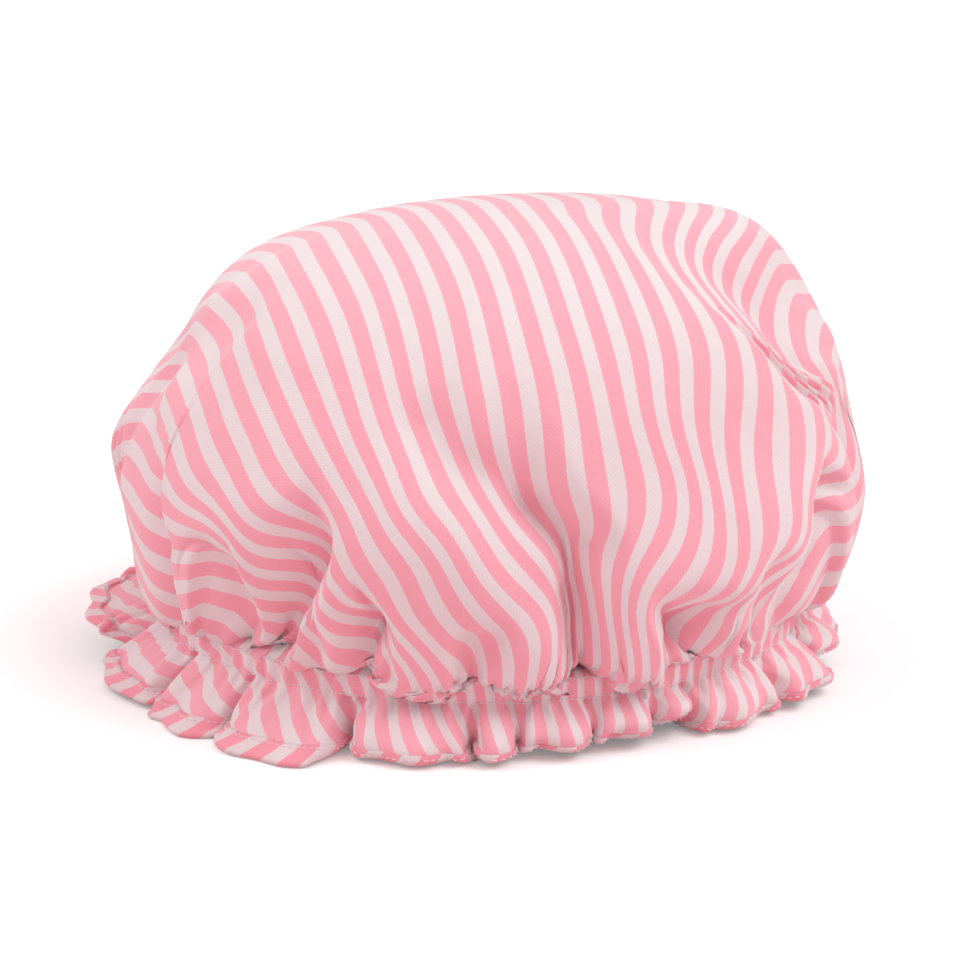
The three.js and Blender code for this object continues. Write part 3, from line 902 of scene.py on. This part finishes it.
def stripes_material(name, pink, white):
    """Printed cotton: pink and white stripes over the weave."""
    material = simple_material(name, pink, 0.85)
    kit = Nodes(material)
    uv = kit.add("ShaderNodeUVMap", uv_map="cut").outputs[0]
    split = kit.add("ShaderNodeSeparateXYZ", {0: uv})
    across, along = split.outputs["X"], split.outputs["Y"]
    wander = kit.math("SUBTRACT", kit.noise(uv, 1.2, 3.0), 0.5)
    pitches = UV_SPAN / (STRIPE_PITCH * MM)
    place = kit.math("MULTIPLY_ADD", across, pitches, 100.5 + STRIPE_ORIGIN - pitches / 2)
    place = kit.math("MULTIPLY_ADD", wander, 2 * PRINT_UNEVEN / STRIPE_PITCH, place)
    part = kit.math("FRACT", place)
    ramp = kit.add("ShaderNodeValToRGB", {0: part})
    pink, white = (*pink, 1), (*white, 1)
    half, soft = STRIPE_PINK_SHARE / 2, PRINT_BLEED / STRIPE_PITCH
    marks = [(-half - soft, white), (-half + soft, pink), (half - soft, pink), (half + soft, white)]
    elements = ramp.color_ramp.elements
    for element, (position, colour) in zip((elements[0], elements[1]), marks):
        element.position = 0.5 + position
        element.color = colour
    for position, colour in marks[2:]:
        elements.new(0.5 + position).color = colour
    tone = kit.noise(uv, TONE_SIZE, 4.0, 0.6)
    tone = kit.math("MULTIPLY_ADD", tone, 2 * TONE_SPREAD, 1 - TONE_SPREAD)
    weave = weave_height(kit, across, along)
    # The weave's low places are painted a little darker than its raised threads: painted shade between the threads
    tone = kit.math("MULTIPLY", tone, kit.math("MULTIPLY_ADD", weave, 0.05, 0.97))
    toned = kit.add("ShaderNodeVectorMath", {0: ramp.outputs["Color"]}, operation="SCALE")
    kit.put(toned.inputs["Scale"], tone)
    kit.put(kit.shader.inputs["Base Color"], toned.outputs[0])
    creases = kit.bump(kit.noise(uv, CREASE_SIZE, 3.0, 0.45), CREASE_HEIGHT)
    crinkles = kit.bump(kit.noise(uv, CRINKLE_SIZE, 3.0, 0.55), CRINKLE_HEIGHT, creases)
    kit.put(kit.shader.inputs["Normal"], kit.bump(weave, WEAVE_HEIGHT, crinkles))
    kit.shader.inputs["Sheen Weight"].default_value = 0.5
    kit.shader.inputs["Sheen Roughness"].default_value = 0.5
    kit.shader.inputs["Specular IOR Level"].default_value = 0.25
    return material


LINING_WHITE = (0.84, 0.8, 0.8)
LINING_CRINKLE_SIZE = 6.0
LINING_CRINKLE_HEIGHT = 0.5
LINING_GRAIN_SIZE = 0.9
LINING_GRAIN_HEIGHT = 0.03
ELASTIC_WHITE = (0.86, 0.84, 0.81)
RIB_PITCH = 1.2
WEFT_PITCH = 0.8
RIB_HEIGHT = 0.12
THREAD_PALE = (0.9, 0.82, 0.82)


def film_material(name):
    """Thin coated lining: whitish, a little glossy, with the crinkles that gathering leaves."""
    material = simple_material(name, LINING_WHITE, 0.42)
    kit = Nodes(material)
    uv = kit.add("ShaderNodeUVMap", uv_map="cut").outputs[0]
    tone = kit.math("MULTIPLY_ADD", kit.noise(uv, TONE_SIZE, 4.0, 0.6), 2 * TONE_SPREAD, 1 - TONE_SPREAD)
    toned = kit.add("ShaderNodeVectorMath", {0: LINING_WHITE}, operation="SCALE")
    kit.put(toned.inputs["Scale"], tone)
    kit.put(kit.shader.inputs["Base Color"], toned.outputs[0])
    crinkles = kit.bump(kit.noise(uv, LINING_CRINKLE_SIZE, 4.0, 0.6), LINING_CRINKLE_HEIGHT)
    grain = kit.bump(kit.noise(uv, LINING_GRAIN_SIZE), LINING_GRAIN_HEIGHT, crinkles)
    kit.put(kit.shader.inputs["Normal"], grain)
    return material


def elastic_material(name):
    """Woven elastic: ribs along the strip, crossed by fine weft."""
    material = simple_material(name, ELASTIC_WHITE, 0.75)
    kit = Nodes(material)
    uv = kit.add("ShaderNodeUVMap", uv_map="cut").outputs[0]
    split = kit.add("ShaderNodeSeparateXYZ", {0: uv})
    ribs = kit.math("SINE", kit.math("MULTIPLY", split.outputs["Y"], TURN * UV_SPAN / (RIB_PITCH * MM)))
    weft = kit.math("SINE", kit.math("MULTIPLY", split.outputs["X"], TURN * UV_SPAN / (WEFT_PITCH * MM)))
    height = kit.math("MULTIPLY_ADD", kit.math("MULTIPLY_ADD", weft, 0.4, ribs), 0.35, 0.5)
    kit.put(kit.shader.inputs["Normal"], kit.bump(height, RIB_HEIGHT))
    return material


def thread_material(name):
    """Soft polyester sewing thread."""
    material = simple_material(name, THREAD_PALE, 0.55)
    material.node_tree.nodes["Principled BSDF"].inputs["Sheen Weight"].default_value = 0.3
    return material


def set_camera():
    target = Vector((0, 0, 0.0643))
    tilt = math.radians(16)
    data = bpy.data.cameras.new("camera")
    data.lens = 89.3
    data.sensor_width = 36
    camera = bpy.data.objects.new("camera", data)
    camera.location = target + 0.9 * Vector((0, -math.cos(tilt), math.sin(tilt)))
    camera.rotation_euler = (target - camera.location).to_track_quat("-Z", "Y").to_euler()
    bpy.context.scene.collection.objects.link(camera)
    bpy.context.scene.camera = camera


# The world lights the cap evenly, and two wide soft suns from the upper left and right shape it
WORLD_STRENGTH = 0.72
WORLD_COLOUR = (1, 0.76, 0.78)
SUN_COLOUR = (0.8, 1, 0.98)
SUN_WIDTH = math.radians(40)
SUNS = [("left_sun", 0.85, (-0.9, -0.15, 1)), ("right_sun", 1.45, (0.8, -0.2, 1))]
FLOOR_HALF_WIDTH = 6.0
FLOOR_WHITE = (0.9, 0.93, 0.925)
FLOOR_BOUNCE = (0.84, 0.64, 0.66)
FLOOR_SEEN_LIFT = 0.2
BACKDROP_WHITE = 1.0


def soft_sun(name, strength, place):
    data = bpy.data.lights.new(name, "SUN")
    data.energy = strength
    data.color = SUN_COLOUR
    data.angle = SUN_WIDTH
    light = bpy.data.objects.new(name, data)
    light.rotation_euler = (-Vector(place)).to_track_quat("-Z", "Y").to_euler()
    bpy.context.scene.collection.objects.link(light)


def studio_world():
    """A plain world that lights the cap, and is white where the camera sees it."""
    world = bpy.data.worlds.new("studio")
    world.use_nodes = True
    nodes, links = world.node_tree.nodes, world.node_tree.links
    back = nodes["Background"]
    back.inputs["Color"].default_value = (*WORLD_COLOUR, 1)
    back.inputs["Strength"].default_value = WORLD_STRENGTH
    white = nodes.new("ShaderNodeBackground")
    white.inputs["Color"].default_value = (1, 1, 1, 1)
    white.inputs["Strength"].default_value = BACKDROP_WHITE
    path = nodes.new("ShaderNodeLightPath")
    mix = nodes.new("ShaderNodeMixShader")
    links.new(path.outputs["Is Camera Ray"], mix.inputs["Fac"])
    links.new(back.outputs[0], mix.inputs[1])
    links.new(white.outputs[0], mix.inputs[2])
    links.new(mix.outputs[0], nodes["World Output"].inputs["Surface"])
    return world


def floor_material():
    """A pale matte floor that the camera sees as white away from the cap's shadow."""
    material = simple_material("floor_white", FLOOR_WHITE, 0.9)
    nodes, links = material.node_tree.nodes, material.node_tree.links
    shader = nodes["Principled BSDF"]
    shader.inputs["Emission Color"].default_value = (1, 1, 1, 1)
    path = nodes.new("ShaderNodeLightPath")
    lift = nodes.new("ShaderNodeMath")
    lift.operation = "MULTIPLY"
    lift.inputs[1].default_value = FLOOR_SEEN_LIFT
    links.new(path.outputs["Is Camera Ray"], lift.inputs[0])
    links.new(lift.outputs[0], shader.inputs["Emission Strength"])
    seen = nodes.new("ShaderNodeMix")
    seen.data_type = "RGBA"
    seen.inputs["A"].default_value = (*FLOOR_BOUNCE, 1)
    seen.inputs["B"].default_value = (*FLOOR_WHITE, 1)
    links.new(path.outputs["Is Camera Ray"], seen.inputs["Factor"])
    links.new(seen.outputs["Result"], shader.inputs["Base Color"])
    return material


def set_stage():
    half = FLOOR_HALF_WIDTH
    corners = [(-half, -half, 0), (half, -half, 0), (half, half, 0), (-half, half, 0)]
    mesh = bpy.data.meshes.new("floor")
    mesh.from_pydata(corners, [], [(0, 1, 2, 3)])
    floor = bpy.data.objects.new("floor", mesh)
    bpy.context.scene.collection.objects.link(floor)
    floor.data.materials.append(floor_material())
    bpy.context.scene.view_settings.view_transform = "Standard"
    bpy.context.scene.world = studio_world()
    for name, strength, place in SUNS:
        soft_sun(name, strength, place)


LINING_GAP = 0.7
ELASTIC_GAP = 1.9


LINING_DEPTH = 1.6
LINING_PLEAT_HEIGHT = 2.0
LINING_JOINS = (226.0, 242.0)
DEPTH_CELLS = (180, 90)


def inmost_table(crown):
    """How far out the crown's innermost cloth lies, by angle round and angle up, evened out."""
    angle, up, size = polar(crown)
    i = (angle / TURN * DEPTH_CELLS[0]).astype(int) % DEPTH_CELLS[0]
    j = np.clip((up + UP_LIMIT) / (2 * UP_LIMIT) * DEPTH_CELLS[1], 0, DEPTH_CELLS[1] - 1).astype(int)
    table = np.full(DEPTH_CELLS, 9.0)
    np.minimum.at(table, (i, j), size)
    for _ in range(3):
        table = np.minimum(table, np.minimum(np.roll(table, 1, 0), np.roll(table, -1, 0)))
        table[:, 1:-1] = np.minimum(table[:, 1:-1], np.minimum(table[:, :-2], table[:, 2:]))
    for _ in range(3):
        table = (np.roll(table, 1, 0) + 2 * table + np.roll(table, -1, 0)) / 4
    return table, i, j


def lining_points(radii, angles, cloth, normals):
    """The lining lies inside the cloth in folds of its own, and passes behind the elastic."""
    lining = cloth - normals * LINING_GAP
    top = int(np.argmin(abs(radii - UPPER_STITCH_RADIUS)))
    bottom = int(np.argmin(abs(radii - LOWER_STITCH_RADIUS)))
    crown = cloth[:, :top]
    table, i, j = inmost_table(crown)
    middle = np.array([0, 0, FORM_CENTRE_Z])[:, None, None]
    size = polar(crown)[2]
    folds = pleat_heights(angles + 0.01, np.random.default_rng(4))
    grown = np.clip((radii[:top] - 130) / 90, 0, 1)[:, None]
    depth = (LINING_DEPTH + LINING_PLEAT_HEIGHT * folds * grown) / FORM_UNIT
    inside = middle + (crown - middle) * np.minimum((table[i, j] - depth) / size, 1)
    inside = smooth_rows(inside, 2)
    join = np.clip((radii[:top] - LINING_JOINS[0]) / (LINING_JOINS[1] - LINING_JOINS[0]), 0, 1)
    join = (join * join * (3 - 2 * join))[:, None]
    lining[:, :top] = inside * (1 - join) + lining[:, :top] * join
    wave = pleat_heights(angles + 0.02, np.random.default_rng(8))
    normal = ring_normal(angles)
    for row in range(top + 1, bottom):
        t = (radii[row] - radii[top]) / CHANNEL_WIDTH
        z = UPPER_STITCH_Z - CHANNEL_WIDTH * t
        p = ring(angles, MOUTH_HALF_WIDTH, MOUTH_HALF_DEPTH, z)
        lapped = np.exp(-(((angles - math.pi) / 0.2) ** 2))
        p[:2] -= normal * (ELASTIC_GAP + wave * 1.6 + lapped * 1.4)
        share = math.sin(math.pi * t) ** 0.5
        lining[:, row] = lining[:, row] * (1 - share) + p * share
    return lining


ELASTIC_THICKNESS = 1.0
ELASTIC_MARGIN = 0.6
ELASTIC_RIBS = 5


ELASTIC_LAP = 22.0
ELASTIC_COLUMNS = 744


def elastic_object():
    """The flat elastic, a strip whose last end laps inside its first at the back of the cap."""
    lap = ELASTIC_LAP / MOUTH_HALF_WIDTH
    turns = np.linspace(-lap / 2, TURN + lap / 2, ELASTIC_COLUMNS)
    angles = math.pi + turns
    inwards = np.clip((turns - TURN + 1.5 * lap) / lap, 0, 1)
    inwards = inwards * inwards * (3 - 2 * inwards) * (ELASTIC_THICKNESS + 0.3)
    normal = ring_normal(angles)
    high = UPPER_STITCH_Z - ELASTIC_MARGIN
    low = LOWER_STITCH_Z + ELASTIC_MARGIN
    across = np.linspace(0, 1, 4 * ELASTIC_RIBS + 1)
    rows, places = [], []
    for face in (0, 1):
        for t in across if face == 0 else across[::-1]:
            rib = 0.12 * abs(math.sin(math.pi * ELASTIC_RIBS * t))
            out = rib if face == 0 else -ELASTIC_THICKNESS - rib
            p = ring(angles, MOUTH_HALF_WIDTH, MOUTH_HALF_DEPTH, high + (low - high) * t)
            p[:2] += normal * (out - 0.1 - inwards)
            rows.append(p)
            places.append((high - low) * t)
    points = np.stack(rows, 1)
    count, columns = points.shape[1:]
    i, j = np.meshgrid(np.arange(count), np.arange(columns - 1), indexing="ij")
    k = (i + 1) % count
    quads = np.stack([i * columns + j, i * columns + j + 1, k * columns + j + 1, k * columns + j], -1)
    first = np.arange(count)[None] * columns
    ends = [first[:, ::-1], first + columns - 1]
    along = turns * (MOUTH_HALF_WIDTH + MOUTH_HALF_DEPTH) / 2
    u, v = np.meshgrid(along, places, indexing="xy")
    uv = np.stack([u, v], -1).reshape(-1, 2) * MM / UV_SPAN
    co = np.moveaxis(points, 0, -1).reshape(-1, 3)
    return add_mesh("woven_band", co, [quads.reshape(-1, 4)] + ends, uv)


BINDING_OUT = 0.9
BINDING_STEPS = 6


def binding_points(radii, cloth, normals):
    """The bias strip folded over the edge, outer face first, and its flat places."""
    first = int(np.argmin(abs(radii - BINDING_TOP_RADIUS)))
    edge, edge_normal = cloth[:, -1], normals[:, -1]
    outwards = cloth[:, -1] - cloth[:, -2]
    outwards /= np.sqrt((outwards * outwards).sum(0))
    rows, across = [], []

    def add(points, place):
        rows.append(points)
        across.append(place)

    add(cloth[:, first] + normals[:, first] * 0.05, 0.0)
    for row in range(first, cloth.shape[1]):
        add(cloth[:, row] + normals[:, row] * BINDING_OUT, radii[row] - radii[first] + 0.3)
    inside = LINING_GAP + BINDING_OUT
    middle = (BINDING_OUT - inside) / 2
    radius = (BINDING_OUT + inside) / 2
    for k in range(1, BINDING_STEPS):
        turn = math.pi * k / BINDING_STEPS
        place = edge_normal * (middle + radius * math.cos(turn)) + outwards * radius * math.sin(turn)
        add(edge + place, BINDING_WIDTH + 0.3 + radius * turn)
    for row in range(cloth.shape[1] - 1, first - 1, -1):
        place = BINDING_WIDTH + 0.3 + radius * math.pi + EDGE_RADIUS - radii[row]
        add(cloth[:, row] - normals[:, row] * inside, place)
    add(cloth[:, first] - normals[:, first] * (LINING_GAP + 0.05), across[-1] + 0.4)
    return np.stack(rows, 1), np.array(across)


def binding_object(radii, angles, cloth, normals):
    points, across = binding_points(radii, cloth, normals)
    points = np.concatenate([points, points[:, :, :1]], 2)
    rows, columns = points.shape[1:]
    along = np.linspace(0, TURN * EDGE_RADIUS, columns)
    s, w = np.meshgrid(along, across, indexing="xy")
    slant = math.sqrt(0.5)
    uv = np.stack([(s + w) * slant * MM / UV_SPAN, (s - w) * slant * MM / UV_SPAN], -1)
    i, j = np.meshgrid(np.arange(rows - 1), np.arange(columns - 1), indexing="ij")
    quads = np.stack([(i + 1) * columns + j, (i + 1) * columns + j + 1, i * columns + j + 1, i * columns + j], -1)
    co = np.moveaxis(points, 0, -1).reshape(-1, 3)
    return add_mesh("edge_strip", co, [quads.reshape(-1, 4)], uv.reshape(-1, 2))


THREAD_RADIUS = 0.19
STITCH_LENGTH = 2.5
STITCH_STEP = 3.2
STITCH_SIDES = 5


def stitches_object(name, line, normals, flat_length, lift=0.22):
    """A closed row of stitches that follows the cloth: line and normals are (3, columns)."""
    columns = line.shape[1]
    count = int(round(flat_length / STITCH_STEP))
    t = np.array([0, 0.12, 0.3, 0.5, 0.7, 0.88, 1.0])
    rise = np.array([-0.35, 0.55, 1, 1, 1, 0.55, -0.35]) * lift
    thick = np.array([0.5, 0.85, 1, 1, 1, 0.85, 0.5]) * THREAD_RADIUS
    at = (np.arange(count)[:, None] + t * STITCH_LENGTH / STITCH_STEP) / count * columns
    low = np.floor(at).astype(int)
    share = at - low
    low %= columns
    high = (low + 1) % columns
    p = line[:, low] * (1 - share) + line[:, high] * share
    n = normals[:, low] * (1 - share) + normals[:, high] * share
    n /= np.sqrt((n * n).sum(0))
    p = p + n * rise
    way = np.gradient(p, axis=2)
    way /= np.sqrt((way * way).sum(0)) + 1e-9
    side = np.cross(way, n, axis=0)
    side /= np.sqrt((side * side).sum(0)) + 1e-9
    over = np.cross(side, way, axis=0)
    turns = np.arange(STITCH_SIDES) * TURN / STITCH_SIDES
    ring_points = (p[..., None] + thick[:, None] * (side[..., None] * np.cos(turns) + over[..., None] * np.sin(turns)))
    co = np.moveaxis(ring_points, 0, -1).reshape(-1, 3)
    steps, sides = len(t), STITCH_SIDES
    s, i, j = np.meshgrid(np.arange(count), np.arange(steps - 1), np.arange(sides), indexing="ij")
    base = s * steps * sides
    k = (j + 1) % sides
    quads = np.stack([base + i * sides + j, base + i * sides + k, base + (i + 1) * sides + k, base + (i + 1) * sides + j], -1)
    ends = np.arange(count)[:, None] * steps * sides
    caps = [ends + np.arange(sides)[::-1], ends + (steps - 1) * sides + np.arange(sides)]
    return add_mesh(name, co, [quads.reshape(-1, 4)] + caps)


def dress(piece, slot, *nodes):
    if nodes:
        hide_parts(*nodes)
    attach(piece, "root")


set_camera()
set_stage()
radii, angles, cloth = gathered_cloth()
normals = grid_normals(cloth)
disc_uv = cut_uv(radii, angles, STRIPE_TURN)
outer = disc_object("cap_cloth", radii, cloth, disc_uv)
outer.data.materials.append(stripes_material("striped_cloth", STRIPE_PINK, STRIPE_WHITE))
lining = disc_object("cap_lining", radii, lining_points(radii, angles, cloth, normals), disc_uv, flip=True)
lining.data.materials.append(film_material("lining_film"))
elastic = elastic_object()
elastic.data.materials.append(elastic_material("woven_elastic"))
binding = binding_object(radii, angles, cloth, normals)
# The binding wears the striped cloth in darker colours: painted shade on the frill's edge
binding.data.materials.append(stripes_material("binding_cloth", BINDING_PINK_PAINTED_SHADE, BINDING_WHITE_PAINTED_SHADE))
dress(outer, "striped_cloth", "outer_cloth")
dress(lining, "lining_film", "waterproof_lining")
dress(elastic, "woven_elastic", "elastic_band")
dress(binding, "binding_cloth", "edge_binding")
rows = [
    ("upper_stitches", UPPER_STITCH_RADIUS, 0.22),
    ("lower_stitches", LOWER_STITCH_RADIUS, 0.22),
    ("binding_stitches", BINDING_TOP_RADIUS + 1.6, 0.22 + BINDING_OUT),
]
for name, radius, lift in rows:
    line, out = row_at(cloth, radii, radius), row_at(normals, radii, radius)
    thread = stitches_object(name, line, out, TURN * radius, lift)
    thread.data.materials.append(thread_material("thread"))
    dress(thread, "striped_cloth")
